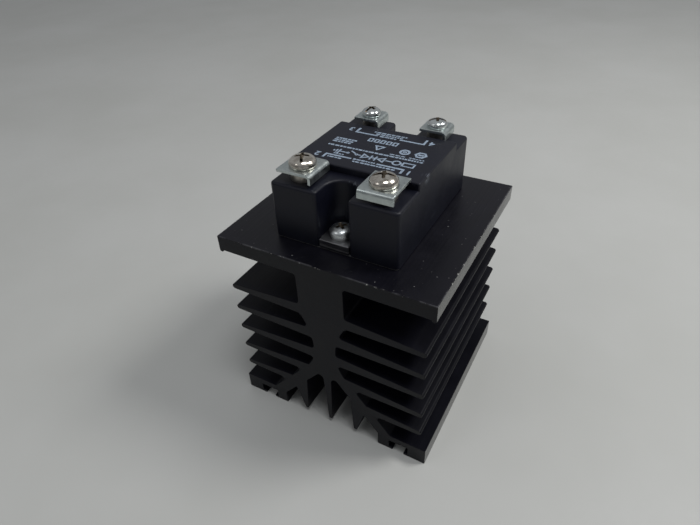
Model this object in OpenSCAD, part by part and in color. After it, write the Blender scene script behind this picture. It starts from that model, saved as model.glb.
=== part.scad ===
// Solid state relay bolted on a finned aluminium heat sink.
// X runs across the fins, Y along the extrusion and Z up. The load terminals
// 1 and 2 face -Y, the control terminals 3 and 4 face +Y. The origin is the
// middle of the footprint, level with the underside of the feet.

/* [Heat sink] */
// Width across the top plate and the feet
sink_w = 80; // [76:0.5:90]
// Length of the extrusion
sink_l = 76; // [70:0.5:120]
// Height from the feet to the top face
sink_h = 78; // [76:0.5:82]
// Thickness of the top plate
plate_t = 5.6; // [5:0.1:7]
// Width of the stem under the plate
stem_w = 17.6; // [15:0.2:20]
// Width of the stem at its waist
waist_w = 8.8; // [7:0.2:10]
// Height of the waist above the feet
waist_z = 40; // [39:0.5:42]
// Distance from one fin to the next
fin_pitch = 9.95; // [9.5:0.05:10]
// Underside of the lowest fin above the feet
fin_floor = 15.5; // [15:0.1:16.5]
// Fin thickness where it leaves the stem
fin_root_t = 4.3; // [3.4:0.1:4.8]
// Fin thickness at its tip
fin_tip_t = 2.1; // [1.8:0.1:3]
// Height of the two feet
foot_h = 7.6; // [7:0.1:8.5]
// Width of each foot
foot_w = 19.2; // [18:0.2:21]
// Width of the slot mouth in each foot
slot_mouth_w = 4.5; // [4.2:0.1:5]
// Width of the nut pocket above the slot mouth
slot_pocket_w = 7.6; // [7.2:0.1:8.5]

/* [Relay] */
// Length of the relay case
relay_l = 58.4; // [57.5:0.1:60]
// Width of the relay case
relay_w = 45.2; // [44:0.1:46]
// Height of the middle of the case above the heat sink
relay_h = 22.9; // [22.5:0.1:24]
// Height of the four corner blocks above the heat sink
block_h = 20.5; // [20.2:0.1:21]
// Length of the raised middle of the case
plateau_l = 32; // [30:0.5:32.5]
// Distance of the raised middle from the middle of the case, towards the back
plateau_y = 1.2; // [0.8:0.1:1.4]
// Distance between the two mounting screws
mount_pitch = 47.6; // [47:0.1:48]
// Width of the screw recess in each end of the case
recess_w = 11; // [10.6:0.1:12]
// Thickness of the metal base plate
base_t = 3.2; // [3:0.1:3.4]
// Thickness of the thermal pad
pad_t = 0.4; // [0.2:0.1:0.5]
// Wall thickness of the case
wall_t = 2; // [1.6:0.1:2.2]
// Sideways place of the relay on the plate
relay_x = 0.8; // [-1:0.1:1]
// Lengthways place of the relay on the plate
relay_y = 0.6; // [-1:0.1:1]

/* [Terminals] */
// Distance between terminals 1 and 2
load_pitch = 28.2; // [27.8:0.1:28.6]
// Distance of terminals 1 and 2 from the middle of the case
load_y = 21.8; // [21.4:0.1:22]
// Distance between terminals 3 and 4
control_pitch = 25.8; // [25.4:0.1:26.4]
// Distance of terminals 3 and 4 from the middle of the case
control_y = 23; // [22.4:0.1:23.4]
// Side of the square clamps on terminals 1 and 2
load_clamp = 12.4; // [12:0.1:12.6]
// Side of the square clamps on terminals 3 and 4
control_clamp = 9.6; // [9.4:0.1:9.9]
// Clamp sheet thickness
clamp_t = 1; // [0.9:0.1:1.2]
// Height of a clamp, its bent side included
clamp_h = 3.3; // [2.8:0.1:3.5]
// Diameter of the posts of terminals 1 and 2
load_post_d = 8.4; // [7.6:0.1:8.8]
// Diameter of the posts of terminals 3 and 4
control_post_d = 6.6; // [6:0.1:6.8]
// Height of the head of the screws on terminals 1 and 2
load_head_h = 3.3; // [2.8:0.1:3.4]
// Height of the head of the screws on terminals 3 and 4
control_head_h = 2.7; // [2.4:0.1:2.8]
// Full turns that a terminal screw can be undone
screw_turns = 3; // [1:1:3]

/* [Hidden] */
$fn = 48;
eps = 0.05;

// Heat sink section
plate_under = sink_h - plate_t;
waist_r = 18;            // radius of the hollow in each side of the stem, below the waist
waist_up_r = 28;         // its radius above the waist
leg_lean = 0.83;         // sideways run of a leg per unit of drop
leg_span = 6.3;          // width of a leg, measured level
fin_count = 5;
fin_reach = sink_w / 2 - 2.2;
fin_lift = 0.9;          // slope of a fin's underside, in degrees
fin_nose_x = fin_reach - fin_tip_t / 2;
root_r = 1.2;            // fillets where fins meet the stem
foot_in = sink_w / 2 - foot_w;
slot_x = sink_w / 2 - 10.7;
slot_lip_t = 1.1;
slot_top_z = 4.7;
bead_r = 0.8;
crotch_r = 1.55;         // rounding at the top of the space between the legs
tooth_floor = 2;         // height of the teeth above the feet's underside
tooth_top_w = 3.4;
tooth_tip_w = 1.5;
side_tooth_x = 11.1;

// Where the stem's hollow runs into the leg's straight outer side
leg_dz = waist_r * leg_lean / sqrt(1 + leg_lean * leg_lean);
leg_top_z = waist_z - leg_dz;
leg_top_x = waist_w / 2 + waist_r - sqrt(waist_r * waist_r - leg_dz * leg_dz);

// Outer side of the stem or leg at height z
function wall_x(z) =
    z < leg_top_z ? leg_top_x + leg_lean * (leg_top_z - z)
    : min(stem_w / 2, hollow_x(z));
// Side of the hollow, or past the stem where the hollow has run out
function hollow_x(z) =
    let (r = z > waist_z ? waist_up_r : waist_r)
    abs(z - waist_z) >= r ? stem_w
    : waist_w / 2 + r - sqrt(r * r - pow(z - waist_z, 2));
// Direction in which that side rises, in degrees from +X
function wall_angle(z) = atan2(0.2, wall_x(z + 0.1) - wall_x(z - 0.1));
// Height at which the inner side of a leg is x away from the middle
function leg_in_z(x) = leg_top_z - (x + leg_span - leg_top_x) / leg_lean;
function fin_z(i) = fin_floor + i * fin_pitch;
// Underside and top of a fin at x, which come together towards its round nose
function fin_under(i, x) = fin_z(i) + (x - stem_w / 2) * tan(fin_lift);
function fin_over(i, x) = fin_under(i, fin_nose_x) + fin_tip_t + (fin_nose_x - x) * tan(fin_fall);
fin_fall = atan2(fin_root_t - fin_tip_t, fin_nose_x - stem_w / 2) - fin_lift;

// Relay levels above the heat sink
relay_pos = [relay_x, relay_y, sink_h];
base_top = pad_t + base_t;
case_gap = 0.1;          // case stands this far off the thermal pad
ceiling = block_h - wall_t;
plateau_ceiling = relay_h - wall_t;
corner_r = 1.6;
mount_y = mount_pitch / 2;
substrate_top = base_top + 0.8;
die_top = substrate_top + 0.5;
board_z = 11;
board_top = board_z + 1.6;
lead_t = 0.8;
post_z = 15;             // underside of the terminal posts
clamp_z = block_h + 1;   // lower edge of the clamps' bent sides
clamp_top = clamp_z + clamp_h;
post_top = clamp_top - clamp_t;

// Terminal data: [x, y, clamp side, post diameter, screw, way the bent side faces]
// Screw data: [shank r, head r, head height, crown]
load_screw = [2.07, 4.5, load_head_h, 2.3];
control_screw = [1.73, 3.5, control_head_h, 1.7];
mount_screw = [2.07, 4, 2.9, 2.2];
TERMINALS = [
    [load_pitch / 2, -load_y, load_clamp, load_post_d, load_screw, -90],
    [-load_pitch / 2, -load_y, load_clamp, load_post_d, load_screw, 0],
    [-control_pitch / 2, control_y, control_clamp, control_post_d, control_screw, 0],
    [control_pitch / 2, control_y, control_clamp, control_post_d, control_screw, 0]
];
screw_play = 0.05;       // between a screw and the hole that it turns in
thread_pitch = 25.4 / 32;
thread_hold = 4.4;       // thread still in the post when a screw is undone
shank_l = clamp_t + screw_turns * thread_pitch + thread_hold;
mount_shank_l = 12.7;
washer_t = 0.8;
output_lead_x = 11.2;    // inner face of the output leads' risers

// Colours
anodised = [0.09, 0.09, 0.10];
moulded = [0.10, 0.105, 0.12];
zinc = [0.76, 0.78, 0.76];
nickel = [0.74, 0.72, 0.68];
copper = [0.72, 0.45, 0.28];
tinned = [0.72, 0.72, 0.70];

// ---- Plane shapes, with polygon points anticlockwise ----

// Rectangle with round corners, about the middle
module round_rect(w, l, r) {
    square([w - 2 * r, l], center = true);
    square([w, l - 2 * r], center = true);
    for (sx = [-1, 1], sy = [-1, 1])
        translate([sx * (w / 2 - r), sy * (l / 2 - r)]) circle(r);
}

// Fills the corner p between walls that leave it at angles a and b
module corner_fill(p, a, b, r) {
    half = (b - a) / 2;
    mid = (a + b) / 2;
    centre = p + r / sin(half) * [cos(mid), sin(mid)];
    sweep = 90 - half;
    polygon(concat(
        [p - 0.3 * [cos(mid), sin(mid)]],
        [for (i = [0:6])
            let (t = mid + 180 + sweep - i * sweep / 3)
            centre + r * [cos(t), sin(t)]]
    ));
}

// Both halves of a shape drawn on the +X side
module both_sides() {
    children();
    mirror([1, 0]) children();
}

// ---- Heat sink section, drawn with Z upwards as Y ----

module plate_section() {
    translate([-eps, plate_under]) square([sink_w / 2 + eps, plate_t]);
    translate([sink_w / 2 - bead_r, plate_under]) circle(bead_r);
    corner_fill([stem_w / 2, plate_under], -90, 0, root_r);
}

module stem_section() {
    difference() {
        translate([-eps, leg_top_z])
            square([stem_w / 2 + eps, plate_under - leg_top_z + eps]);
        translate([waist_w / 2 + waist_r, waist_z]) circle(waist_r, $fn = 96);
        intersection() {
            translate([waist_w / 2 + waist_up_r, waist_z]) circle(waist_up_r, $fn = 96);
            translate([0, waist_z]) square([stem_w, plate_under - waist_z]);
        }
    }
}

module fin_section(i) {
    z = fin_z(i);
    root_x = wall_x(z + fin_root_t / 2) - 2;
    top_x = wall_x(z + fin_root_t);
    under_x = wall_x(z);
    polygon([
        [root_x, fin_under(i, root_x)], [fin_nose_x, fin_under(i, fin_nose_x)],
        [fin_nose_x, fin_over(i, fin_nose_x)], [root_x, fin_over(i, root_x)]
    ]);
    translate([fin_nose_x, fin_under(i, fin_nose_x) + fin_tip_t / 2]) circle(fin_tip_t / 2);
    corner_fill([top_x, fin_over(i, top_x)], -fin_fall, wall_angle(fin_over(i, top_x)), root_r);
    corner_fill([under_x, fin_under(i, under_x)], wall_angle(z) - 180, fin_lift, root_r);
}

module leg_section() {
    // Centre of the rounding that touches the middle tooth and the leg
    slant = sqrt(1 + leg_lean * leg_lean);
    cx = tooth_top_w / 2 + crotch_r;
    cz = leg_in_z(cx + crotch_r * slant);
    touch = [cx, cz] + crotch_r / slant * [1, leg_lean];
    difference() {
        polygon([
            [-eps, cz], [cx, cz], touch,
            [foot_in, leg_in_z(foot_in)],
            [foot_in, foot_h - 1], [wall_x(foot_h), foot_h - 1],
            [wall_x(foot_h), foot_h], [leg_top_x, leg_top_z],
            [wall_x(leg_top_z + 1), leg_top_z + 1], [-eps, leg_top_z + 1]
        ]);
        translate([cx, cz]) circle(crotch_r);
    }
    corner_fill([wall_x(foot_h), foot_h], 0, wall_angle(foot_h), root_r);
    tooth_section(0, cz + 1, tooth_top_w / 2, tooth_top_w / 2);
}

// Hanging tooth: half widths at the top given apart for its two sides
module tooth_section(x, top_z, inner, outer) {
    tip_r = tooth_tip_w / 2;
    tip_z = tooth_floor + tip_r;
    polygon([
        [x - inner, top_z], [x - tip_r, tip_z],
        [x + tip_r, tip_z], [x + outer, top_z]
    ]);
    translate([x, tip_z]) circle(tip_r);
}

module side_tooth_section() {
    // Its outer side meets the leg lower down than its inner side
    tip_r = tooth_tip_w / 2;
    tip_z = tooth_floor + tip_r;
    inner_x = 9.4;
    outer_x = 15;
    polygon([
        [inner_x, leg_in_z(inner_x)], [side_tooth_x - tip_r, tip_z],
        [side_tooth_x + tip_r, tip_z], [outer_x, leg_in_z(outer_x)],
        [outer_x + 1.5, leg_in_z(outer_x) + 0.5], [inner_x + 2, leg_in_z(inner_x) + 0.5]
    ]);
    translate([side_tooth_x, tip_z]) circle(tip_r);
}

module foot_section() {
    difference() {
        translate([foot_in, 0]) square([foot_w, foot_h]);
        translate([slot_x - slot_mouth_w / 2, -1]) square([slot_mouth_w, 3]);
        translate([slot_x - slot_pocket_w / 2, slot_lip_t])
            square([slot_pocket_w, slot_top_z - slot_lip_t]);
    }
}

module heat_sink() {
    color(anodised) difference() {
        rotate([90, 0, 0]) linear_extrude(height = sink_l, center = true)
            both_sides() {
                plate_section();
                stem_section();
                for (i = [0:fin_count - 1]) fin_section(i);
                leg_section();
                side_tooth_section();
                foot_section();
            }
        // Tapped holes for the mounting screws
        translate(relay_pos) for (s = [-1, 1])
            translate([0, s * mount_y, -10])
                cylinder(r = mount_screw[0] + screw_play, h = 11);
    }
}

// ---- Relay body ----

// Case outline's cut for the screw recess in one end, s = -1 front, 1 back
module recess_outline(s, half) {
    translate([0, s * mount_y]) circle(half);
    translate([-half, s > 0 ? mount_y : -mount_y - 12]) square([2 * half, 12]);
}

// Inside outline of the case, drawn in by the given gap
module cavity_outline(gap) {
    difference() {
        round_rect(relay_w - 2 * (wall_t + gap), relay_l - 2 * (wall_t + gap), 0.8);
        for (s = [-1, 1]) recess_outline(s, recess_w / 2 + wall_t + gap);
    }
}

// Base plate outline: a plate inside the case's skirt and a tongue each way
module base_outline(gap) {
    skirt = 1.6;
    round_rect(relay_w - 2 * skirt + 2 * gap, relay_l - 2 * skirt + 2 * gap, 0.8);
    square([recess_w - 0.2 + 2 * gap, relay_l], center = true);
}

module thermal_pad() {
    color([0.62, 0.63, 0.62]) translate(relay_pos)
        linear_extrude(height = pad_t) difference() {
            round_rect(relay_w - 0.6, relay_l - 0.6, 1);
            for (s = [-1, 1]) translate([0, s * mount_y]) circle(2.7);
        }
}

module base_plate() {
    color([0.55, 0.53, 0.50]) translate(relay_pos) translate([0, 0, pad_t])
        linear_extrude(height = base_t) difference() {
            base_outline(0);
            for (s = [-1, 1]) translate([0, s * mount_y]) circle(2.45);
        }
}

module case() {
    color(moulded) translate(relay_pos) difference() {
        union() {
            translate([0, 0, pad_t + case_gap])
                linear_extrude(height = block_h - pad_t - case_gap)
                    round_rect(relay_w, relay_l, corner_r);
            translate([0, plateau_y, base_top])
                linear_extrude(height = relay_h - base_top)
                    round_rect(relay_w, plateau_l, 0.4);
        }
        // Skirt around the base plate, and the hollow above it
        linear_extrude(height = base_top) base_outline(eps);
        translate([0, 0, base_top - eps])
            linear_extrude(height = ceiling - base_top + eps) cavity_outline(0);
        translate([0, plateau_y, ceiling - eps])
            linear_extrude(height = plateau_ceiling - ceiling + eps)
                round_rect(relay_w - 2 * wall_t, plateau_l - 2 * wall_t, 0.8);
        // Screw recesses, open to the ends
        for (s = [-1, 1]) translate([0, 0, -1])
            linear_extrude(height = relay_h + 2) recess_outline(s, recess_w / 2);
        // Round holes for the terminal posts
        for (t = TERMINALS)
            translate([t[0], t[1], ceiling - 2])
                cylinder(r = t[3] / 2 + eps, h = relay_h - ceiling + 4);
    }
}

// ---- Power side ----

module ceramic_substrate() {
    color([0.92, 0.92, 0.90]) translate(relay_pos)
        translate([0, -5, base_top + 0.4]) cube([24, 18, 0.8], center = true);
}

module thyristor(x) {
    color([0.42, 0.44, 0.48]) translate(relay_pos)
        translate([x, -5, substrate_top + 0.25]) cube([6.5, 6.5, 0.5], center = true);
}
module thyristor_a() thyristor(-4.5);
module thyristor_b() thyristor(4.5);

// Copper strip from the substrate up and along to a load terminal
module output_lead(side) {
    run_l = load_y - 5 + 3;
    color(copper) translate(relay_pos) mirror([side < 0 ? 1 : 0, 0, 0]) {
        translate([8.4, -10, substrate_top])
            cube([output_lead_x + lead_t - 8.4, 5, lead_t]);
        translate([output_lead_x, -10, substrate_top])
            cube([lead_t, 5, post_z - substrate_top]);
        translate([output_lead_x, -5 - run_l, post_z - lead_t])
            cube([5.4, run_l, lead_t]);
    }
}
module output_lead_1() output_lead(1);
module output_lead_2() output_lead(-1);

module gate_pins() {
    color(tinned) translate(relay_pos) for (s = [-1, 1])
        translate([s * 4.5, -2.5, die_top]) cylinder(r = 0.4, h = board_z - die_top);
}

module silicone_fill() {
    play = 0.1;
    color([0.80, 0.82, 0.78]) translate(relay_pos) difference() {
        translate([0, 0, base_top])
            linear_extrude(height = board_z - 0.6 - base_top) cavity_outline(play);
        translate([0, -5, base_top + 1])
            cube([24 + 2 * play, 18 + 2 * play, 2 + 2 * play], center = true);
        for (s = [-1, 1]) {
            translate([s * (output_lead_x + lead_t / 2), -7.5, 8])
                cube([lead_t + 2 * play, 5 + 2 * play, 10], center = true);
            translate([s * 4.5, -2.5, base_top]) cylinder(r = 0.4 + play, h = 10);
        }
    }
}

// ---- Control side ----

module circuit_board() {
    color([0.10, 0.36, 0.22]) translate(relay_pos) difference() {
        translate([0, 5.6, board_z + 0.8]) cube([39, 19.6, 1.6], center = true);
        // Notches beside the output leads
        for (s = [-1, 1]) translate([s * 13, -5, board_z]) cube([6, 3, 6], center = true);
    }
}

module optocoupler() {
    color([0.13, 0.13, 0.14]) translate(relay_pos) translate([0, 8, board_top]) {
        translate([0, 0, 2.4]) cube([8.8, 6.4, 3.6], center = true);
        for (x = [-2.54, 0, 2.54], s = [-1, 1])
            translate([x, s * 3.4, 1.2]) cube([0.6, 0.8, 2.4], center = true);
    }
}

module current_limiter() {
    color([0.12, 0.12, 0.13]) translate(relay_pos) translate([-8.5, 11.5, board_top]) {
        translate([0, 0, 1]) difference() {
            cylinder(r = 2.4, h = 4.8);
            translate([-3, -4.4, -1]) cube([6, 3, 7]);
        }
        for (x = [-1.27, 0, 1.27]) translate([x, 0, 0.6]) cube([0.45, 0.45, 1.2], center = true);
    }
}

// Resistor lying on the board with its two wires bent down into it
module resistor(at, turn, r, l, c) {
    color(c) translate(relay_pos) translate([at[0], at[1], board_top + r + 0.3])
        rotate([0, 0, turn]) {
            rotate([0, 90, 0]) cylinder(r = r, h = l, center = true);
            rotate([0, 90, 0]) cylinder(r = 0.35, h = l + 2.4, center = true);
            for (s = [-1, 1]) translate([s * (l / 2 + 1.2), 0, -r - 0.3])
                cylinder(r = 0.35, h = r + 0.65);
        }
}
module input_resistor() resistor([8.5, 8.5], 90, 1.2, 6.4, [0.72, 0.62, 0.45]);
module gate_resistors() for (y = [7, 10.5])
    resistor([-14.5, y], 0, 0.9, 4, [0.72, 0.62, 0.45]);
module snubber_resistor() resistor([8.5, 1], 0, 1.8, 9, [0.35, 0.42, 0.40]);

module snubber_capacitor() {
    color([0.70, 0.24, 0.12]) translate(relay_pos) translate([-10, 1.6, board_top]) {
        translate([0, 0, 4.1]) cube([10.5, 4.5, 7.4], center = true);
        for (s = [-1, 1]) translate([s * 3.75, 0, 0]) cylinder(r = 0.35, h = 0.6);
    }
}

// Strip from the board up and along to a control terminal
module input_lead(side) {
    color(tinned) translate(relay_pos) translate([side * control_pitch / 2, 0, 0]) {
        translate([-2, 12.8, board_top]) cube([4, lead_t, post_z - board_top]);
        translate([-2, 12.8, post_z - lead_t]) cube([4, control_y - 10.6, lead_t]);
    }
}
module input_lead_3() input_lead(-1);
module input_lead_4() input_lead(1);

// ---- Terminals ----

module terminal(i) {
    t = TERMINALS[i];
    color([0.66, 0.62, 0.55]) translate(relay_pos) translate([t[0], t[1], post_z])
        difference() {
            cylinder(r = t[3] / 2, h = post_top - post_z);
            translate([0, 0, 1])
                cylinder(r = t[4][0] + screw_play, h = post_top - post_z);
        }
}
module terminal_1() terminal(0);
module terminal_2() terminal(1);
module terminal_3() terminal(2);
module terminal_4() terminal(3);

// Square clamp with one side bent down
module clamp(i) {
    t = TERMINALS[i];
    color(zinc) translate(relay_pos) translate([t[0], t[1], clamp_z])
        rotate([0, 0, t[5]]) difference() {
            rotate([90, 0, 0]) linear_extrude(height = t[2] - 0.4, center = true)
                difference() {
                    bent_sheet(t[2] / 2, t[2] / 2, clamp_h, clamp_t + 0.5);
                    translate([0, -eps])
                        bent_sheet(t[2] / 2 + 1, t[2] / 2 - clamp_t, clamp_h - clamp_t + eps, 0.5);
                }
            cylinder(r = t[4][0] + 0.25, h = clamp_h + 1);
        }
}
// Upright rectangle standing on the X axis, its top corner on the +X side round
module bent_sheet(left, right, h, r) {
    translate([-left, 0]) square([left + right, h - r]);
    translate([-left, 0]) square([left + right - r, h]);
    translate([right - r, h - r]) circle(r);
}
module clamp_1() clamp(0);
module clamp_2() clamp(1);
module clamp_3() clamp(2);
module clamp_4() clamp(3);

// Pan head screw: underside of the head at z = 0, cross and slot in the crown
module pan_screw(screw, length) {
    head_r = screw[1];
    crown = screw[3];
    dome_r = (head_r * head_r + crown * crown) / (2 * crown);
    difference() {
        union() {
            intersection() {
                cylinder(r = head_r, h = screw[2]);
                translate([0, 0, screw[2] - dome_r]) sphere(dome_r, $fn = 96);
            }
            translate([0, 0, -length]) cylinder(r = screw[0], h = length + eps);
        }
        for (a = [0, 90]) rotate([0, 0, 45 + a])
            translate([0, 0, screw[2]]) cube([head_r * 1.1, 0.9, 2.6], center = true);
    }
}

module terminal_screw(i) {
    t = TERMINALS[i];
    color(nickel) translate(relay_pos) translate([t[0], t[1], clamp_top])
        pan_screw(t[4], shank_l);
}
module screw_1() terminal_screw(0);
module screw_2() terminal_screw(1);
module screw_3() terminal_screw(2);
module screw_4() terminal_screw(3);

module mounting_screw(s) {
    color(zinc) translate(relay_pos) translate([0, s * mount_y, base_top + washer_t])
        pan_screw(mount_screw, mount_shank_l);
}
module mounting_screw_front() mounting_screw(-1);
module mounting_screw_back() mounting_screw(1);

// Split lock washer under a mounting screw's head
module mounting_washer(s) {
    color([0.60, 0.61, 0.60]) translate(relay_pos) translate([0, s * mount_y, base_top])
        difference() {
            cylinder(r = mount_screw[1] - 0.2, h = washer_t);
            translate([0, 0, -1]) cylinder(r = mount_screw[0] + 0.1, h = washer_t + 2);
            rotate([0, 0, 200]) translate([0, -0.2, -1]) cube([6, 0.4, washer_t + 2]);
        }
}
module mounting_washer_front() mounting_washer(-1);
module mounting_washer_back() mounting_washer(1);

heat_sink();
thermal_pad();
base_plate();
case();
ceramic_substrate();
thyristor_a();
thyristor_b();
output_lead_1();
output_lead_2();
gate_pins();
silicone_fill();
circuit_board();
optocoupler();
current_limiter();
input_resistor();
gate_resistors();
snubber_resistor();
snubber_capacitor();
input_lead_3();
input_lead_4();
terminal_1();
terminal_2();
terminal_3();
terminal_4();
clamp_1();
clamp_2();
clamp_3();
clamp_4();
screw_1();
screw_2();
screw_3();
screw_4();
mounting_screw_front();
mounting_screw_back();
mounting_washer_front();
mounting_washer_back();
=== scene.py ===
"""Looks of the solid state relay on its heat sink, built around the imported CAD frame."""
import math
import random
from collections import namedtuple

import bmesh
import bpy
from mathutils import Matrix, Vector


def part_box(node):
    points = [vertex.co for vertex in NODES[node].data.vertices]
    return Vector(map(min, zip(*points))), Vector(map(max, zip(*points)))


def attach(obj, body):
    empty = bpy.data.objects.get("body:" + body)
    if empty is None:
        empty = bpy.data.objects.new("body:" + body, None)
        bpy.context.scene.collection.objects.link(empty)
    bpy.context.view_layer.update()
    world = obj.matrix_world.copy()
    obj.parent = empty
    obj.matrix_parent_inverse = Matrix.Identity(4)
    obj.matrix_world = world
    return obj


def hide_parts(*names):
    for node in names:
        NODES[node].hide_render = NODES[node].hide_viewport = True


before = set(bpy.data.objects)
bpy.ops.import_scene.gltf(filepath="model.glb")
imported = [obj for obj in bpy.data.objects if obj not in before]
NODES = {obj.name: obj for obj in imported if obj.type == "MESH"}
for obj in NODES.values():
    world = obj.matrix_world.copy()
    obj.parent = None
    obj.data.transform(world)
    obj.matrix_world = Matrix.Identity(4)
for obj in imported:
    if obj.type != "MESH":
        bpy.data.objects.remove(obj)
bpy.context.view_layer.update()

MM = 0.001


# ---------------------------------------------------------------- sizes

# From the frame's boxes: the heat sink in metres, the case in mm
sink_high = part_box("heat_sink")[1]
SINK_TOP = sink_high.z
SINK_HALF_L = sink_high.y
SINK_HALF_W = sink_high.x
case_low, case_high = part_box("case")
CASE_X = (case_low.x + case_high.x) / 2 / MM
CASE_Y = (case_low.y + case_high.y) / 2 / MM
CASE_W = (case_high.x - case_low.x) / MM
CASE_L = (case_high.y - case_low.y) / MM
CASE_TOP = case_high.z / MM
RELAY_Z = SINK_TOP / MM

# Heights of the case's underside, corner blocks and wells for the posts, in mm over the floor
CASE_BOTTOM = RELAY_Z + 0.5
BLOCK_TOP = RELAY_Z + 20.5
WELL_FLOOR = RELAY_Z + 14

# The case's other sizes in mm, with places along Y from its centre
CASE_CORNER_R = 1.6
CASE_EDGE_R = 1.0
MIDDLE_FRONT_Y = -14.8
MIDDLE_BACK_Y = 17.2
MIDDLE_CORNER_R = 0.7
MIDDLE_EDGE_R = 0.5
RECESS_Y = 23.8
RECESS_R = 5.5
MOUTH_R = 1.25
WALL = 2
CAVITY_HALF_L = 16
CAVITY_CORNER_R = 0.8
WELL_PLAY = 0.05
WELL_SIDES = 48

# Screws: sizes in mm, and how square the crown's curve is, where 2 is an ellipse
Screw = namedtuple("Screw", "head_r head_h crown square shank_r drive slotted")
LOAD_SCREW = Screw(head_r=4.5, head_h=3.3, crown=2.3, square=1.9, shank_r=2.07, drive=4.8, slotted=True)
CONTROL_SCREW = Screw(head_r=3.5, head_h=2.7, crown=1.7, square=1.9, shank_r=1.73, drive=3.8, slotted=True)
MOUNTING_SCREW = Screw(head_r=4.0, head_h=2.9, crown=2.2, square=2.3, shank_r=2.07, drive=4.0, slotted=False)
THREAD_PITCH = 25.4 / 32


# ---------------------------------------------------------------- materials

RANGE_SOCKETS = ("From Min", "From Max", "To Min", "To Max")


class Shade:
    """A procedural material, built one node at a time around a Principled shader."""

    def __init__(self, name, **constants):
        self.material = bpy.data.materials.new(name)
        self.material.use_nodes = True
        self.tree = self.material.node_tree
        self.tree.nodes.clear()
        out = self.add("ShaderNodeOutputMaterial")
        self.bsdf = self.add("ShaderNodeBsdfPrincipled")
        self.join(self.bsdf.outputs[0], out.inputs["Surface"])
        for key, value in constants.items():
            self.bsdf.inputs[key].default_value = value

    def add(self, kind, **settings):
        node = self.tree.nodes.new(kind)
        for key, value in settings.items():
            setattr(node, key, value)
        return node

    def join(self, source, socket):
        """Links an output to a socket, or sets the socket to a number or tuple."""
        if isinstance(source, (int, float, tuple)):
            socket.default_value = source
        else:
            self.tree.links.new(source, socket)

    def position(self):
        """The surface point in the row frame, in metres."""
        return self.add("ShaderNodeTexCoord").outputs["Object"]

    def noise(self, size, detail=3.0, rough=0.55, stretch=(1, 1, 1), turn=0.0, skew=0.0):
        """Noise with features of the given size in mm, turned about Z."""
        mapping = self.add("ShaderNodeMapping")
        mapping.inputs["Scale"].default_value = stretch
        mapping.inputs["Rotation"].default_value = (0, 0, turn)
        self.join(self.position(), mapping.inputs["Vector"])
        node = self.add("ShaderNodeTexNoise")
        node.inputs["Scale"].default_value = 1 / MM / size
        node.inputs["Detail"].default_value = detail
        node.inputs["Roughness"].default_value = rough
        node.inputs["Distortion"].default_value = skew
        self.join(mapping.outputs["Vector"], node.inputs["Vector"])
        return node.outputs["Fac"]

    def span(self, source, low, high, to_low=0.0, to_high=1.0):
        """Maps low..high smoothly to to_low..to_high, and holds it beyond."""
        node = self.add("ShaderNodeMapRange", interpolation_type="SMOOTHSTEP")
        for key, value in zip(RANGE_SOCKETS, (low, high, to_low, to_high)):
            node.inputs[key].default_value = value
        self.join(source, node.inputs["Value"])
        return node.outputs["Result"]

    def math(self, operation, a, b=0.0):
        node = self.add("ShaderNodeMath", operation=operation)
        self.join(a, node.inputs[0])
        self.join(b, node.inputs[1])
        return node.outputs[0]

    def times(self, a, b):
        return self.math("MULTIPLY", a, b)

    def plus(self, a, b):
        return self.math("ADD", a, b)

    def mix(self, share, a, b):
        """Colour a, with the given share of colour b over it."""
        node = self.add("ShaderNodeMix", data_type="RGBA")
        self.join(share, node.inputs["Factor"])
        for value, socket in ((a, node.inputs[6]), (b, node.inputs[7])):
            self.join((*value, 1.0) if isinstance(value, tuple) else value, socket)
        return node.outputs[2]

    def axis(self, name):
        """One coordinate of the surface point."""
        split = self.add("ShaderNodeSeparateXYZ")
        self.join(self.position(), split.inputs[0])
        return split.outputs[name]

    def inset(self, name, limit):
        """Distance from the surface point to a limit on one axis, on either side of 0."""
        return self.math("SUBTRACT", limit, self.math("ABSOLUTE", self.axis(name)))

    def near(self, centre, reach):
        """1 at a point given in mm, fading to 0 at the reach."""
        away = self.add("ShaderNodeVectorMath", operation="DISTANCE")
        away.inputs[1].default_value = tuple(c * MM for c in centre)
        self.join(self.position(), away.inputs[0])
        return self.span(away.outputs["Value"], 0.35 * reach * MM, reach * MM, 1.0, 0.0)

    def colour(self, source):
        self.join(source, self.bsdf.inputs["Base Color"])

    def rough(self, source):
        self.join(source, self.bsdf.inputs["Roughness"])

    def metal(self, source):
        self.join(source, self.bsdf.inputs["Metallic"])

    def bumps(self, *layers):
        """Stacks bump layers, each (height, depth in mm)."""
        normal = None
        for height, depth in layers:
            node = self.add("ShaderNodeBump")
            node.inputs["Strength"].default_value = 1.0
            node.inputs["Distance"].default_value = depth * MM
            self.join(height, node.inputs["Height"])
            if normal is not None:
                self.join(normal, node.inputs["Normal"])
            normal = node.outputs["Normal"]
        self.join(normal, self.bsdf.inputs["Normal"])


def plate_zones(s):
    """Masks of the heat sink's plate: its top edges, and its top face."""
    from_top = s.math("ABSOLUTE", s.math("SUBTRACT", s.axis("Z"), SINK_TOP))
    from_edge = s.math("MINIMUM", s.inset("Y", SINK_HALF_L), s.inset("X", SINK_HALF_W))
    edges = s.span(s.plus(from_top, from_edge), 0.10 * MM, 0.55 * MM, 1.0, 0.0)
    return edges, s.span(from_top, 0.0, 0.2 * MM, 1.0, 0.0)


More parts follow.
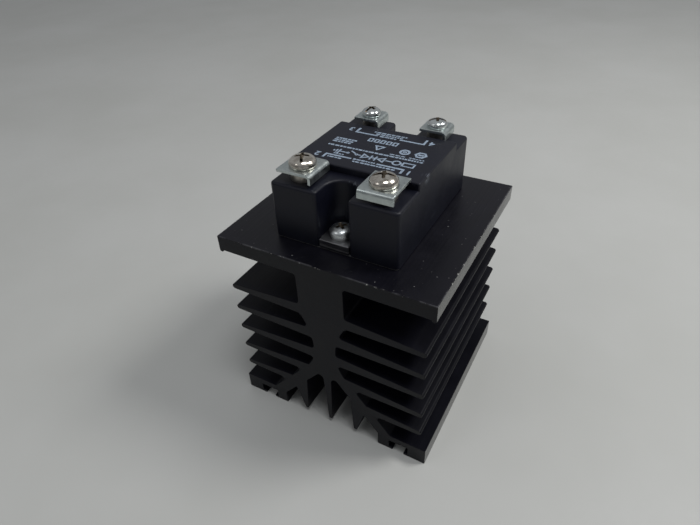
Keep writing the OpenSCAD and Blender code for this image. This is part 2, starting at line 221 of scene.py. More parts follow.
def plate_wear_and_edge_highlight(s, tone, edges, top):
    """Scuffs and specks on the plate's top face, and a painted highlight line along its top edges."""
    scuffs = s.noise(5, detail=6.0, rough=0.8, stretch=(1, 0.25, 1), turn=0.5, skew=1.2)
    scuffs = s.times(s.span(scuffs, 0.66, 0.70), top)
    tone = s.mix(s.times(scuffs, 0.22), tone, (0.10, 0.10, 0.10))
    # Painted highlight: a lighter line along the plate's top edges, broken up by noise
    painted_edge_highlight = s.times(edges, s.span(s.noise(9, detail=4.0, rough=0.7), 0.44, 0.60))
    tone = s.mix(s.times(painted_edge_highlight, 0.5), tone, (0.10, 0.10, 0.11))
    specks = s.times(s.span(s.noise(1.1, detail=2.0, rough=0.5), 0.735, 0.76), top)
    return s.mix(s.times(specks, 0.6), tone, (0.24, 0.24, 0.24))


def anodised_material(name, deep, pale, gloss, ior):
    """Black anodised extrusion: die lines along Y, dust, wear on the plate, and a painted highlight along its
    top edges.
    """
    s = Shade(name, IOR=ior)
    lines = s.noise(0.55, detail=4.0, rough=0.7, stretch=(1, 0.012, 1))
    wide_lines = s.noise(3.5, detail=2.0, rough=0.5, stretch=(1, 0.02, 1))
    cloud = s.noise(14, detail=4.0, rough=0.6)
    dust = s.span(s.noise(0.9, detail=6.0, rough=0.75), 0.60, 0.72)
    tone = s.mix(s.span(cloud, 0.35, 0.7), deep, pale)
    tone = s.mix(s.times(dust, 0.02), tone, (0.20, 0.20, 0.19))
    edges, top = plate_zones(s)
    tone = plate_wear_and_edge_highlight(s, tone, edges, top)
    # Bare metal where the edges are chipped
    bare = s.times(edges, s.span(s.noise(1.3, detail=5.0, rough=0.7), 0.60, 0.66))
    s.colour(s.mix(bare, tone, (0.62, 0.61, 0.58)))
    s.metal(bare)
    shine = s.span(lines, 0.25, 0.75, *gloss)
    shine = s.plus(shine, s.span(cloud, 0.3, 0.7, -0.04, 0.05))
    s.rough(s.plus(shine, s.times(dust, 0.12)))
    s.bumps((wide_lines, 0.05), (lines, 0.012), (s.noise(0.12, detail=2.0), 0.004))
    return s.material


def case_material():
    """Black moulded plastic with a fine grain, a little dust, a few pale scuffs and two patches of painted
    highlight.
    """
    s = Shade("moulded_case_plastic", IOR=1.38)
    cloud = s.noise(9, detail=4.0, rough=0.6)
    dust = s.span(s.noise(0.6, detail=6.0, rough=0.8), 0.58, 0.74)
    scuffs = s.noise(5, detail=6.0, rough=0.75, stretch=(1, 0.4, 1), turn=-0.6, skew=1.4)
    tone = s.mix(s.span(cloud, 0.3, 0.7), (0.0034, 0.0040, 0.0098), (0.0052, 0.0062, 0.0140))
    tone = s.mix(s.times(dust, 0.04), tone, (0.20, 0.22, 0.25))
    tone = s.mix(s.times(s.span(scuffs, 0.665, 0.71), 0.30), tone, (0.10, 0.11, 0.13))
    # Painted highlight: pale bluish patches on the rim behind the front recess and along the top edge beside
    # terminal 1
    highlight_streaks = s.noise(0.8, detail=6.0, rough=0.75, stretch=(1, 0.16, 1), turn=1.2, skew=0.3)
    painted_highlight = s.math("MAXIMUM", s.near((2.8, -17.7, 98.6), 2.6), s.near((23.9, -8.5, 100.6), 2.8))
    painted_highlight = s.times(s.span(highlight_streaks, 0.54, 0.62), painted_highlight)
    s.colour(s.mix(s.times(painted_highlight, 0.42), tone, (0.26, 0.29, 0.34)))
    s.rough(s.plus(s.span(cloud, 0.3, 0.7, 0.42, 0.50), s.times(dust, 0.15)))
    s.bumps((s.noise(7, detail=3.0, rough=0.5), 0.05), (s.noise(0.22, detail=3.0, rough=0.6), 0.010))
    return s.material


def plated_material(name, dark, light, gloss, marks=0.5, ripple=0.03):
    """Plated metal: cloudy plating, fine drawing lines, small dark marks."""
    s = Shade(name, Metallic=1.0)
    cloud = s.noise(2.2, detail=4.0, rough=0.6, skew=0.6)
    lines = s.noise(0.35, detail=3.0, rough=0.6, stretch=(1, 0.08, 1), turn=0.35)
    spots = s.span(s.noise(0.8, detail=6.0, rough=0.8), 0.60, 0.72)
    tone = s.mix(s.span(cloud, 0.3, 0.7), dark, light)
    s.colour(s.mix(s.times(spots, marks), tone, tuple(0.35 * c for c in dark)))
    s.rough(s.plus(s.span(cloud, 0.25, 0.75, *gloss), s.times(spots, 0.2)))
    s.bumps((s.noise(3, detail=2.0), ripple), (lines, 0.003), (s.noise(0.15, detail=2.0), 0.004))
    return s.material


def plate_edge_material():
    """Dull base plate metal with rolling lines along its edges."""
    s = Shade("base_plate_metal", Metallic=1.0)
    cloud = s.noise(3, detail=4.0, rough=0.6)
    layers = s.noise(0.9, detail=2.0, rough=0.5, stretch=(0.03, 0.03, 1))
    tone = s.mix(s.span(cloud, 0.3, 0.7), (0.075, 0.075, 0.088), (0.115, 0.115, 0.13))
    s.colour(s.mix(s.span(layers, 0.50, 0.62), tone, (0.30, 0.30, 0.31)))
    s.rough(s.span(cloud, 0.25, 0.75, 0.38, 0.52))
    s.bumps((layers, 0.03), (s.noise(0.2, detail=2.0), 0.006))
    return s.material


def plain_material(name, dark, light, gloss, size=2.0, **constants):
    """Two near tones in soft clouds with a grain: for pads, boards and parts inside."""
    s = Shade(name, **constants)
    cloud = s.noise(size, detail=5.0, rough=0.65)
    specks = s.span(s.noise(0.5, detail=4.0, rough=0.7), 0.58, 0.70)
    tone = s.mix(s.span(cloud, 0.3, 0.7), dark, light)
    s.colour(s.mix(s.times(specks, 0.35), tone, tuple(0.55 * c for c in dark)))
    s.rough(s.span(cloud, 0.25, 0.75, *gloss))
    s.bumps((cloud, 0.02), (s.noise(0.2, detail=2.0), 0.01))
    return s.material


def ink_material():
    """White print, rubbed down to a patchy film in places."""
    s = Shade("white_print", IOR=1.5)
    wear = s.noise(0.7, detail=5.0, rough=0.75)
    s.colour(s.mix(s.span(wear, 0.42, 0.66), (0.315, 0.395, 0.50), (0.165, 0.21, 0.275)))
    s.rough(s.span(wear, 0.3, 0.7, 0.45, 0.65))
    s.bumps((s.noise(0.2, detail=2.0), 0.006))
    return s.material


def floor_material():
    """Pale matt surface with very faint clouds."""
    s = Shade("pale_floor", IOR=1.45)
    cloud = s.noise(160, detail=4.0, rough=0.6)
    s.colour(s.mix(s.span(cloud, 0.3, 0.7), (0.50, 0.505, 0.485), (0.54, 0.545, 0.53)))
    s.rough(s.span(s.noise(3, detail=4.0), 0.3, 0.7, 0.5, 0.6))
    s.bumps((s.noise(1.2, detail=4.0, rough=0.6), 0.02))
    return s.material


BLACK = anodised_material("black_anodised_aluminium", (0.0027, 0.0026, 0.0055), (0.0048, 0.0045, 0.0088),
                          gloss=(0.32, 0.44), ior=1.36)
# Outer sides: a far lighter base colour than the plate, a painted reflection of the bright floor seen at a
# grazing angle
SIDE_PAINTED_REFLECTION = anodised_material("black_anodised_side_painted_reflection", (0.014, 0.014, 0.013), (0.024, 0.023, 0.021),
                         gloss=(0.16, 0.24), ior=1.48)
CUT = anodised_material("black_anodised_cut", (0.0026, 0.0027, 0.0050), (0.0044, 0.0045, 0.0078),
                        gloss=(0.36, 0.48), ior=1.31)
# Fins: a darker copy of the plate's anodising, painted shade between the fins under the plate
FIN_PAINTED_SHADE = anodised_material("black_anodised_fin_painted_shade", (0.0022, 0.0023, 0.0048), (0.0038, 0.0039, 0.0075),
                        gloss=(0.38, 0.50), ior=1.21)
PLASTIC = case_material()
ZINC = plated_material("bright_zinc_plate", (0.46, 0.51, 0.51), (0.58, 0.63, 0.62),
                       gloss=(0.26, 0.36), marks=0.3)
SCREW_ZINC = plated_material("zinc_plated_screw", (0.58, 0.61, 0.61), (0.72, 0.75, 0.75),
                             gloss=(0.14, 0.22), marks=0.3)
NICKEL = plated_material("nickel_plated_screw", (0.40, 0.36, 0.31), (0.78, 0.74, 0.67),
                         gloss=(0.10, 0.22), marks=0.45, ripple=0.16)
MOUNT_ZINC = plated_material("dull_zinc_screw", (0.62, 0.65, 0.66), (0.76, 0.79, 0.80),
                             gloss=(0.26, 0.36), marks=0.3)
# Painted shade: a dark brown copy of the plating for the faces inside the driver recesses
RECESS_PAINTED_SHADE = plated_material("driver_recess_painted_shade", (0.14, 0.115, 0.085), (0.34, 0.29, 0.23), gloss=(0.26, 0.42))
SPRING = plated_material("plain_spring_steel", (0.40, 0.41, 0.40), (0.56, 0.57, 0.56), gloss=(0.28, 0.40))
TINNED = plated_material("tinned_brass", (0.52, 0.49, 0.43), (0.66, 0.63, 0.56), gloss=(0.30, 0.45))
BASE = plate_edge_material()
COPPER = plated_material("bare_copper", (0.60, 0.33, 0.22), (0.78, 0.46, 0.31), gloss=(0.25, 0.40))
TINNED_COPPER = plated_material("tinned_copper", (0.58, 0.58, 0.56), (0.74, 0.74, 0.72),
                                gloss=(0.25, 0.38))
INK = ink_material()
PAD = plain_material("grey_thermal_pad", (0.075, 0.075, 0.080), (0.105, 0.105, 0.11), gloss=(0.6, 0.75))
ALUMINA = plain_material("white_alumina", (0.74, 0.74, 0.71), (0.82, 0.82, 0.80), gloss=(0.55, 0.7))
SILICON = plain_material("polished_silicon", (0.08, 0.09, 0.11), (0.13, 0.14, 0.17),
                         gloss=(0.10, 0.2), Metallic=0.6)
GEL = plain_material("potting_silicone", (0.62, 0.65, 0.60), (0.72, 0.74, 0.69), gloss=(0.25, 0.4), size=6)
BOARD = plain_material("green_board_laminate", (0.012, 0.10, 0.045), (0.02, 0.15, 0.07),
                       gloss=(0.28, 0.4), size=4)
MOULDED = plain_material("moulded_component", (0.012, 0.012, 0.013), (0.022, 0.022, 0.024),
                         gloss=(0.4, 0.55))
BEIGE = plain_material("beige_resistor_lacquer", (0.42, 0.29, 0.14), (0.55, 0.40, 0.21), gloss=(0.3, 0.45))
GREY = plain_material("grey_resistor_coat", (0.10, 0.16, 0.15), (0.16, 0.22, 0.20), gloss=(0.5, 0.65))
FILM = plain_material("dipped_capacitor_film", (0.30, 0.04, 0.012), (0.42, 0.07, 0.02), gloss=(0.2, 0.32))

NODE_MATERIALS = {
    "heat_sink": BLACK, "thermal_pad": PAD, "base_plate": BASE, "case": PLASTIC,
    "ceramic_substrate": ALUMINA, "thyristor_a": SILICON, "thyristor_b": SILICON,
    "output_lead_1": COPPER, "output_lead_2": COPPER, "gate_pins": TINNED_COPPER,
    "silicone_fill": GEL, "circuit_board": BOARD, "optocoupler": MOULDED,
    "current_limiter": MOULDED, "input_resistor": BEIGE, "gate_resistors": BEIGE,
    "snubber_resistor": GREY, "snubber_capacitor": FILM,
    "input_lead_3": TINNED_COPPER, "input_lead_4": TINNED_COPPER,
    "terminal_1": TINNED, "terminal_2": TINNED, "terminal_3": TINNED, "terminal_4": TINNED,
    "clamp_1": ZINC, "clamp_2": ZINC, "clamp_3": ZINC, "clamp_4": ZINC,
    "screw_1": NICKEL, "screw_2": NICKEL, "screw_3": SCREW_ZINC, "screw_4": SCREW_ZINC,
    "mounting_screw_front": MOUNT_ZINC, "mounting_screw_back": MOUNT_ZINC,
    "mounting_washer_front": SPRING, "mounting_washer_back": SPRING,
}


# ---------------------------------------------------------------- mesh tools

def new_object(name, bm, material):
    mesh = bpy.data.meshes.new(name)
    bmesh.ops.recalc_face_normals(bm, faces=bm.faces)
    bm.to_mesh(mesh)
    bm.free()
    mesh.materials.append(material)
    piece = bpy.data.objects.new(name, mesh)
    bpy.context.scene.collection.objects.link(piece)
    return piece


def final_mesh(piece):
    """A new mesh of a piece with its modifiers applied."""
    bpy.context.view_layer.update()
    graph = bpy.context.evaluated_depsgraph_get()
    return bpy.data.meshes.new_from_object(piece.evaluated_get(graph))


def bake(piece):
    """Applies a piece's modifiers."""
    mesh = final_mesh(piece)
    piece.modifiers.clear()
    piece.data = mesh


def combine(piece, other, operation="DIFFERENCE"):
    """Cuts the other piece out of a piece, or joins it on."""
    boolean = piece.modifiers.new("combine", "BOOLEAN")
    boolean.object = other
    boolean.operation = operation
    boolean.solver = "EXACT"
    boolean.material_mode = "TRANSFER"
    bake(piece)
    bpy.data.objects.remove(other)


def round_edges(piece, width, segments, angle):
    """Adds a bevel, with its width in mm, to edges sharper than the angle."""
    bevel = piece.modifiers.new("edges", "BEVEL")
    bevel.width = width * MM
    bevel.segments = segments
    bevel.limit_method = "ANGLE"
    bevel.angle_limit = math.radians(angle)
    bevel.use_clamp_overlap = False
    bevel.miter_outer = "MITER_ARC"
    return bevel


def smooth(piece, angle):
    """Smooth shading with sharp edges over the angle."""
    for face in piece.data.polygons:
        face.use_smooth = True
    piece.data.set_sharp_from_angle(angle=math.radians(angle))
    flat = piece.modifiers.new("flat_faces", "WEIGHTED_NORMAL")
    flat.weight = 100
    flat.keep_sharp = True


def prism(name, outline, low, high, material):
    """Upright prism over an outline of (x, y), in mm."""
    bm = bmesh.new()
    base = [bm.verts.new((x * MM, y * MM, low * MM)) for x, y in outline]
    face = bm.faces.new(base)
    grown = bmesh.ops.extrude_face_region(bm, geom=[face])
    moved = [v for v in grown["geom"] if isinstance(v, bmesh.types.BMVert)]
    bmesh.ops.translate(bm, verts=moved, vec=(0, 0, (high - low) * MM))
    return new_object(name, bm, material)


def arc(x, y, r, start, end, steps):
    """Points of an arc from one angle to another, in degrees."""
    turn = [math.radians(start + (end - start) * k / steps) for k in range(steps + 1)]
    return [(x + r * math.cos(t), y + r * math.sin(t)) for t in turn]


def rounded_box(x0, x1, y0, y1, r, steps=5):
    """Outline of a box with rounded corners."""
    return (arc(x1 - r, y1 - r, r, 0, 90, steps) + arc(x0 + r, y1 - r, r, 90, 180, steps)
            + arc(x0 + r, y0 + r, r, 180, 270, steps) + arc(x1 - r, y0 + r, r, 270, 360, steps))


def lathe(name, rings, steps, material):
    """Turned piece from rings (radius or function of the turn, z), in mm, axis to axis."""
    bm = bmesh.new()
    made = []
    for radius, z in rings:
        if radius == 0:
            made.append([bm.verts.new((0, 0, z * MM))])
            continue
        ring = []
        for k in range(steps):
            t = 2 * math.pi * k / steps
            r = radius(k / steps) if callable(radius) else radius
            ring.append(bm.verts.new((r * math.cos(t) * MM, r * math.sin(t) * MM, z * MM)))
        made.append(ring)
    for low, high in zip(made, made[1:]):
        for k in range(steps):
            corners = [low[k % len(low)], low[(k + 1) % len(low)],
                       high[(k + 1) % len(high)], high[k % len(high)]]
            # At the axis two corners are the same point
            bm.faces.new(list(dict.fromkeys(corners)))
    return new_object(name, bm, material)


def wedge(upper, lower, depth, top):
    """Tapered block that cuts a recess, from its upper and lower (length, width), in mm."""
    bm = bmesh.new()
    rows = []
    for (length, width), z in ((lower, top - depth), (upper, top)):
        rows.append([bm.verts.new((x * length / 2 * MM, y * width / 2 * MM, z * MM))
                     for x, y in ((-1, -1), (1, -1), (1, 1), (-1, 1))])
    bm.faces.new(rows[0])
    bm.faces.new(rows[1])
    for k in range(4):
        n = (k + 1) % 4
        bm.faces.new([rows[0][k], rows[0][n], rows[1][n], rows[1][k]])
    # The cutter's material passes to the faces it cuts, which puts the painted shade inside the recess
    return new_object("recess_cutter", bm, RECESS_PAINTED_SHADE)


def place(piece, where=(0, 0, 0), turn=0.0):
    """Turns a piece's mesh about Z and moves it, in metres."""
    piece.data.transform(Matrix.Translation(Vector(where)) @ Matrix.Rotation(turn, 4, "Z"))


# ---------------------------------------------------------------- CAD nodes

# Rounding of the nodes' edges in mm
EDGE_WIDTH = 0.1
EDGE_WIDTHS = {
    "heat_sink": 0.14, "thermal_pad": 0.08, "base_plate": 0.2,
    "clamp_1": 0.16, "clamp_2": 0.16, "clamp_3": 0.14, "clamp_4": 0.14,
}


def dress_cad_nodes():
    """Materials and softened edges for every CAD node."""
    for name, node in NODES.items():
        node.data.materials.clear()
        node.data.materials.append(NODE_MATERIALS[name])
        # The imported normals would spoil the softened edges
        if "custom_normal" in node.data.attributes:
            node.data.attributes.remove(node.data.attributes["custom_normal"])
        for face in node.data.polygons:
            face.material_index = 0
            face.use_smooth = True
        weld = node.modifiers.new("weld", "WELD")
        weld.merge_threshold = 0.002 * MM
        flat = node.modifiers.new("flat_faces", "DECIMATE")
        flat.decimate_type = "DISSOLVE"
        flat.angle_limit = math.radians(1.0)
        flat.delimit = {"MATERIAL"}
        bevel = round_edges(node, EDGE_WIDTHS.get(name, EDGE_WIDTH), segments=2, angle=35)
        bevel.harden_normals = True
    finish_heat_sink(NODES["heat_sink"])


def finish_heat_sink(sink):
    """Glossy outer sides with a lighter base colour as painted reflection, satin plate, duller sawn ends, and
    fins in a darker copy as painted shade.
    """
    for finish in (SIDE_PAINTED_REFLECTION, CUT, FIN_PAINTED_SHADE):
        sink.data.materials.append(finish)
    side, cut, fin = 1, 2, 3
    square_on = 0.99
    outer_side = SINK_HALF_W - 0.1 * MM
    plate_under = SINK_TOP - 8 * MM
    for face in sink.data.polygons:
        if abs(face.normal.x) > square_on and abs(face.center.x) > outer_side:
            face.material_index = side
        elif abs(face.normal.y) > square_on:
            face.material_index = cut
        elif face.center.z < plate_under:
            face.material_index = fin


# ---------------------------------------------------------------- case

def case_outline():
    """Outline of the case with a rounded-mouth screw recess in each end, about its centre."""
    corner_x = CASE_W / 2 - CASE_CORNER_R
    corner_y = CASE_L / 2 - CASE_CORNER_R
    mouth_x = RECESS_R + MOUTH_R
    mouth_y = CASE_L / 2 - MOUTH_R
    end = [*arc(corner_x, corner_y, CASE_CORNER_R, 0, 90, 6),
           *arc(mouth_x, mouth_y, MOUTH_R, 90, 180, 6),
           *arc(0, RECESS_Y, RECESS_R, 0, -180, 28),
           *arc(-mouth_x, mouth_y, MOUTH_R, 0, 90, 6),
           *arc(-corner_x, corner_y, CASE_CORNER_R, 90, 180, 6)]
    # Back end, from the +X corner to the -X corner, then the front end
    return [(s * x, s * y) for s in (1, -1) for x, y in end]


def case_body():
    """Solid case about its centre: corner blocks and raised middle, with all but the bottom edges rounded."""
    spare = 3
    body = prism("case_shell", case_outline(), CASE_BOTTOM - spare, BLOCK_TOP, PLASTIC)
    round_edges(body, CASE_EDGE_R, segments=5, angle=50)
    bake(body)
    half_w = CASE_W / 2
    plan = rounded_box(-half_w, half_w, MIDDLE_FRONT_Y, MIDDLE_BACK_Y, MIDDLE_CORNER_R, steps=3)
    # The middle reaches down into the blocks, so that the two join
    inside_blocks = RELAY_Z + 8
    middle = prism("case_middle", plan, inside_blocks, CASE_TOP, PLASTIC)
    round_edges(middle, MIDDLE_EDGE_R, segments=3, angle=50)
    bake(middle)
    combine(body, middle, "UNION")
    # The spare length is cut off again, which leaves the bottom edges sharp
    plan = rounded_box(-40, 40, -40, 40, 1)
    combine(body, prism("under", plan, CASE_BOTTOM - 3 * spare, CASE_BOTTOM, PLASTIC))
    return body


def build_case():
    """Hollow shell with wells for the posts."""
    shell = case_body()
    half_w = CASE_W / 2 - WALL
    cavity = rounded_box(-half_w, half_w, -CAVITY_HALF_L, CAVITY_HALF_L, CAVITY_CORNER_R)
    combine(shell, prism("case_cavity", cavity, RELAY_Z, BLOCK_TOP - WALL, PLASTIC))
    turn = 360 * (WELL_SIDES - 1) / WELL_SIDES
    for t in ("1", "2", "3", "4"):
        low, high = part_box("terminal_" + t)
        mid = (low + high) / 2 / MM
        r = (high.x - low.x) / 2 / MM + WELL_PLAY
        well = arc(mid.x - CASE_X, mid.y - CASE_Y, r, 0, turn, WELL_SIDES - 1)
        combine(shell, prism("post_well", well, WELL_FLOOR, CASE_TOP + 1, PLASTIC))
    place(shell, Vector((CASE_X, CASE_Y, 0)) * MM)
    smooth(shell, 30)
    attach(shell, "relay")
    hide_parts("case")


# ---------------------------------------------------------------- screws

def head_blank(name, shape, material):
    """Domed head without its drive, its underside at z = 0."""
    r = shape.head_r
    wall = shape.head_h - shape.crown
    bend = 2 / shape.square
    # Underside, rounded lower edge and wall, as (radius, height)
    rings = [(0, 0.0), (r - 0.30, 0.0), (r - 0.08, 0.08), (r, 0.28), (r, wall - 0.12)]
    crown_rings, crown_r = 18, r - 0.04
    for k in range(crown_rings):
        t = math.radians(90 * k / crown_rings)
        rings.append((crown_r * math.cos(t) ** bend, wall + shape.crown * math.sin(t) ** bend))
    rings.append((0, shape.head_h))
    return lathe(name, rings, 72, material)


def pan_head(name, shape, material):
    """Domed head with a cross recess, and a slot if slotted."""
    head = head_blank(name, shape, material)
    drive = shape.drive
    if shape.slotted:
        across = 2 * shape.head_r + 1
        combine(head, wedge((across, 0.95), (across, 0.85), depth=0.9, top=shape.head_h))
    # The cutters start just over the crown
    top = shape.head_h + 0.1
    for turn in (0.0, math.pi / 2):
        wing = wedge((drive, 1.0), (0.40 * drive, 0.7), depth=2.2, top=top)
        place(wing, turn=turn)
        combine(head, wing)
    pit = wedge((0.42 * drive, 0.42 * drive), (0.22 * drive, 0.22 * drive), depth=2.0, top=top)
    place(pit, turn=math.pi / 4)
    combine(head, pit)
    round_edges(head, 0.06, segments=2, angle=32)
    bake(head)
    return head


def thread(name, radius, length, material):
    """Threaded shank down from just inside the head, with a chamfered tip."""
    depth = 0.38
    chamfer = 0.2
    inside = 0.3
    # Plain length at each end, and the threaded run between
    plain = 0.25
    run = length - 2 * plain
    per_turn = 10
    count = int(run / THREAD_PITCH * per_turn)
    # Shares of half a pitch. The rest is crest
    groove, flank = 0.12, 0.7

    def radius_at(z, fade):
        """Radius round the shank at one height, where the thread fades out near the tip."""
        def around(turn):
            ridge = abs(2 * ((z / THREAD_PITCH - turn) % 1.0) - 1)
            height = min(1, max(0, (ridge - groove) / flank))
            return radius - depth * fade - depth * (1 - fade) * (1 - height)
        return around

    rings = [(0, -length), (radius - depth - chamfer, -length)]
    for i in range(count + 1):
        z = -length + plain + run * i / count
        rings.append((radius_at(z, max(0.0, 1 - i / per_turn)), z))
    rings += [(radius - chamfer, inside), (0, inside)]
    return lathe(name, rings, 32, material)


def build_screw(node, body, shape, turn, material):
    """Head and thread of one screw, with its recess turned by some degrees."""
    low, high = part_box(node)
    seat = Vector(((low.x + high.x) / 2, (low.y + high.y) / 2, high.z - shape.head_h * MM))
    head = pan_head(node + "_head", shape, material)
    shank = thread(node + "_thread", shape.shank_r, (seat.z - low.z) / MM, material)
    for piece in (head, shank):
        place(piece, seat, math.radians(turn))
        smooth(piece, 32)
        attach(piece, body)
        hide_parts(node)


def build_screws():
    build_screw("screw_1", "screw_1", LOAD_SCREW, 20, NICKEL)
    build_screw("screw_2", "screw_2", LOAD_SCREW, 118, NICKEL)
    build_screw("screw_3", "screw_3", CONTROL_SCREW, 70, SCREW_ZINC)
    build_screw("screw_4", "screw_4", CONTROL_SCREW, 20, SCREW_ZINC)
    build_screw("mounting_screw_front", "relay", MOUNTING_SCREW, 50, MOUNT_ZINC)
    build_screw("mounting_screw_back", "relay", MOUNTING_SCREW, 80, MOUNT_ZINC)


# ---------------------------------------------------------------- print on the case

class Print:
    """Thin raised shapes on the case's top, laid out in mm in the row frame."""

    def __init__(self, z):
        sunk, raised = 0.002, 0.02
        self.bm = bmesh.new()
        self.levels = ((z - sunk) * MM, (z + raised) * MM)

    def band(self, rails, closed):
        """Solid band between two rails of points."""
        left_low, left_high, right_low, right_high = [
            [self.bm.verts.new((x * MM, y * MM, z)) for x, y in rail] for rail in rails for z in self.levels]
        section = [left_low, left_high, right_high, right_low]
        count = len(left_low)
        for k in range(count if closed else count - 1):
            n = (k + 1) % count
            for a, b in zip(section, section[1:] + section[:1]):
                self.bm.faces.new([a[k], a[n], b[n], b[k]])
        if not closed:
            for end in (0, -1):
                self.bm.faces.new([row[end] for row in section])

    def line(self, points, width, closed=False):
        """Line of even width through points, with mitred corners."""
        spots = [Vector(p) for p in points]
        runs = [(b - a).normalized() for a, b in zip(spots, spots[1:] + spots[:1])]
        rails = ([], [])
        for k, spot in enumerate(spots):
            after = runs[k] if closed or k < len(spots) - 1 else runs[k - 1]
            before = runs[k - 1] if closed or k > 0 else after
            mitre = (before + after).normalized()
            side = Vector((-mitre.y, mitre.x))
            reach = width / 2 / side.dot(Vector((-after.y, after.x)))
            rails[0].append(tuple(spot + side * reach))
            rails[1].append(tuple(spot - side * reach))
        self.band(rails, closed)

    def bar(self, x0, x1, y0, y1):
        self.band((((x0, y0), (x1, y0)), ((x0, y1), (x1, y1))), False)

    def ring(self, x, y, r, width, sides=24, start=0.0):
        """Ring of even width, round or with few sides, with its outside at r."""
        turn = [start + 2 * math.pi * k / sides for k in range(sides)]
        middle = r - width / 2
        self.line([(x + middle * math.cos(t), y + middle * math.sin(t)) for t in turn], width, True)

    def box(self, x0, x1, y0, y1, width):
        """Rectangle drawn as a line."""
        self.line([(x0, y0), (x1, y0), (x1, y1), (x0, y1)], width, True)

    def words(self, x0, x1, y, height, rng):
        """Row of short bars that stands for small print."""
        shortest, longest = 0.6, 1.9
        least_gap, most_gap = 0.22, 0.36
        scrap = 0.4
        x = x0
        while x < x1 - scrap:
            length = min(rng.uniform(shortest, longest), x1 - x)
            self.bar(x, x + length, y - height / 2, y + height / 2)
            x += length + rng.uniform(least_gap, most_gap)

    def number(self, text, x, y, height):
        """A digit that reads from the +Y side."""
        type_size = 1.38 * height
        boldness = 0.11
        curve = bpy.data.curves.new("digit", "FONT")
        curve.body = text
        curve.size = type_size * MM
        curve.align_x = "CENTER"
        curve.align_y = "CENTER"
        curve.extrude = (self.levels[1] - self.levels[0]) / 2
        curve.offset = boldness * MM
        piece = bpy.data.objects.new("digit", curve)
        bpy.context.scene.collection.objects.link(piece)
        mesh = final_mesh(piece)
        half_turn = Matrix.Rotation(math.pi, 4, "Z")
        mesh.transform(Matrix.Translation((x * MM, y * MM, sum(self.levels) / 2)) @ half_turn)
        self.bm.from_mesh(mesh)
        bpy.data.objects.remove(piece)


def print_brackets(p):
    """Brackets from terminal 1 to 2 at the front and 3 to 4 at the back, with the terminals' numbers."""
    stroke = 0.8
    front, front_end = -8.0, -10.6
    back, back_end = 11.3, 14.8
    for inner, outer, y, end in ((-3.4, -12.7, front, front_end), (5.8, 15.1, front, front_end),
                                 (-3.3, -11.9, back, back_end), (5.0, 13.8, back, back_end)):
        p.line([(inner, y), (outer, y), (outer, end)], stroke)
    digit_h = 2.7
    for text, x, y in (("1", 17.4, -9.2), ("2", -15.6, -8.9), ("3", -14.6, 13.1), ("4", 16.2, 12.9)):
        p.number(text, x, y, digit_h)


def print_small_rows(p):
    """Rows of small print, as (first x, last x, y, height)."""
    rng = random.Random(7)
    beside_brackets = [(-2.7, 5.1, -7.9, 0.8), (-2.2, 12.8, -9.4, 0.75), (-11.6, -6.0, -9.4, 0.75),
                       (-10.8, -7.0, -6.6, 0.6), (-2.5, 4.3, 11.2, 0.8), (-5.8, 7.2, 13.8, 0.8),
                       (-4.6, 6.0, 12.5, 0.75)]
    between = [(-16.0, 18.8, -1.2, 0.9), (-16.0, -8.0, 4.4, 0.95), (-16.0, -8.0, 3.0, 0.95),
               (-16.0, -9.0, 1.7, 0.8), (6.6, 12.0, 0.2, 0.6), (13.4, 18.6, 0.2, 0.6)]
    for x0, x1, y, height in beside_brackets + between:
        p.words(x0, x1, y, height, rng)


def print_marks(p):
    """Five blank rating fields, a triangle, a ring and a hexagon."""
    first_x, pitch, field_w = -4.7, 2.3, 1.35
    for k in range(5):
        x = first_x + pitch * k
        p.box(x, x + field_w, 6.4, 8.5, 0.55)
    p.ring(1.3, 3.1, 2.1, 0.6, sides=3, start=math.radians(-90))
    ring_x, hexagon_x, y = 10.5, 16.2, 3.4
    p.ring(ring_x, y, 1.9, 0.8)
    p.ring(ring_x, y, 0.75, 0.5, sides=16)
    p.ring(hexagon_x, y, 2.2, 0.8, sides=6)
    p.bar(hexagon_x - 0.9, hexagon_x + 0.9, y - 0.55, y + 0.55)


def draw_schematic(p):
    """Row of plain circuit symbols: resistor, source, two thyristors, contact, earth."""
    y, stroke = -4.7, 0.58
    # Wires between the symbols
    for a, b in ((13.1, 12.85), (9.65, 7.35), (3.45, 2.35), (-1.6, -2.75), (-6.95, -9.35)):
        p.line([(a, y), (b, y)], stroke)
    p.box(13.4, 17.2, y - 1.1, y + 1.1, stroke)
    p.ring(11.25, y, 1.6, stroke)
    draw_thyristor(p, 5.4, y, 1, stroke)
    draw_thyristor(p, 0.4, y, -1, stroke)
    # Open contact between two small rings
    p.ring(-3.25, y, 0.6, 0.4, sides=12)
    p.ring(-6.45, y, 0.6, 0.4, sides=12)
    p.line([(-3.75, y + 0.45), (-6.0, y + 1.75)], stroke)
    earth_x = -9.7
    for k, half in enumerate((1.5, 1.0, 0.5)):
        p.line([(earth_x - k, y - half), (earth_x - k, y + half)], stroke)


def draw_thyristor(p, middle, y, way, stroke):
    """Triangle with a bar at its tip, pointing to -X or, with way = -1, to +X."""
    half_l, half_h = 1.35, 1.3
    back = middle + half_l * way
    tip = middle - half_l * way
    p.line([(back, y - half_h), (back, y + half_h), (tip + 0.45 * way, y)], stroke, True)
    bar_x, bar_h = tip - 0.3 * way, half_h + 0.2
    p.line([(bar_x, y - bar_h), (bar_x, y + bar_h)], stroke)


def build_print():
    p = Print(CASE_TOP)
    print_brackets(p)
    print_small_rows(p)
    print_marks(p)
    draw_schematic(p)
    piece = new_object("case_print", p.bm, INK)
    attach(piece, "relay")


# ---------------------------------------------------------------- stage, lights, camera

def build_stage():
    bm = bmesh.new()
    bmesh.ops.create_grid(bm, x_segments=8, y_segments=8, size=2.5)
    floor = new_object("floor", bm, floor_material())


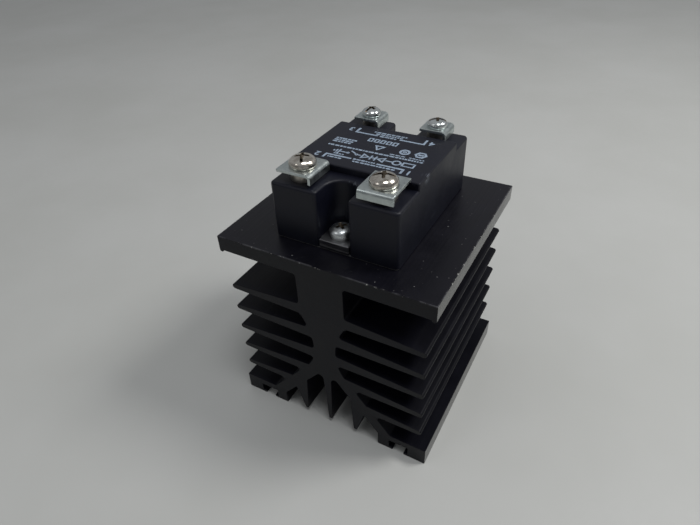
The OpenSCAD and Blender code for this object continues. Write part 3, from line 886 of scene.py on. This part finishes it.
def build_world():
    """Soft sky, brighter above and behind the object than on the camera's side."""
    world = bpy.data.worlds.new("studio")
    bpy.context.scene.world = world
    world.use_nodes = True
    tree = world.node_tree
    background = tree.nodes["Background"]
    background.inputs["Color"].default_value = (0.95, 0.97, 1.0, 1.0)
    where = tree.nodes.new("ShaderNodeTexCoord")
    lean = tree.nodes.new("ShaderNodeVectorMath")
    lean.operation = "DOT_PRODUCT"
    lean.inputs[1].default_value = (-0.25, 0.55, 0.80)
    tree.links.new(where.outputs["Generated"], lean.inputs[0])
    level = tree.nodes.new("ShaderNodeMapRange")
    level.interpolation_type = "SMOOTHSTEP"
    dim, bright = 0.152, 0.325
    for key, value in zip(RANGE_SOCKETS, (-0.7, 1.0, dim, bright)):
        level.inputs[key].default_value = value
    tree.links.new(lean.outputs["Value"], level.inputs["Value"])
    tree.links.new(level.outputs["Result"], background.inputs["Strength"])


def area_light(name, where, size, power, colour):
    """Round lamp in metres and watts, aimed at the middle of the object."""
    light = bpy.data.lights.new(name, "AREA")
    light.shape = "DISK"
    light.size = size
    light.energy = power
    light.color = colour
    lamp = bpy.data.objects.new(name, light)
    bpy.context.scene.collection.objects.link(lamp)
    lamp.location = where
    aim = Vector((0, 0, 0.06)) - Vector(where)
    lamp.rotation_euler = aim.to_track_quat("-Z", "Y").to_euler()


def build_lights():
    area_light("key", (0.46, 0.26, 0.68), 0.27, 3.1, (1.0, 0.99, 0.97))
    area_light("top", (0.30, -0.18, 1.30), 0.45, 3.9, (0.97, 0.985, 1.0))
    area_light("fill", (-0.50, -0.65, 0.89), 0.34, 0.5, (1.0, 1.0, 1.0))


def build_camera():
    """Camera at the photograph's viewing angle."""
    eye = Vector((74.13, -142.75, 177.90)) * MM
    target = Vector((-4.00, -10.73, 60.0)) * MM
    roll = math.radians(-2.621)
    forward = (target - eye).normalized()
    side = forward.cross(Vector((0, 0, 1))).normalized()
    down = forward.cross(side)
    right = math.cos(roll) * side - math.sin(roll) * down
    up = -(math.sin(roll) * side + math.cos(roll) * down)
    camera = bpy.data.cameras.new("camera")
    camera.lens = 26.97
    camera.sensor_width = 36.0
    camera.clip_start = 0.01
    holder = bpy.data.objects.new("camera", camera)
    bpy.context.scene.collection.objects.link(holder)
    rotation = Matrix((right, up, -forward)).transposed()
    holder.matrix_world = Matrix.Translation(eye) @ rotation.to_4x4()
    bpy.context.scene.camera = holder


build_camera()
build_stage()
build_world()
build_lights()
dress_cad_nodes()
build_case()
build_screws()
build_print()
bpy.context.scene.view_settings.view_transform = "Standard"
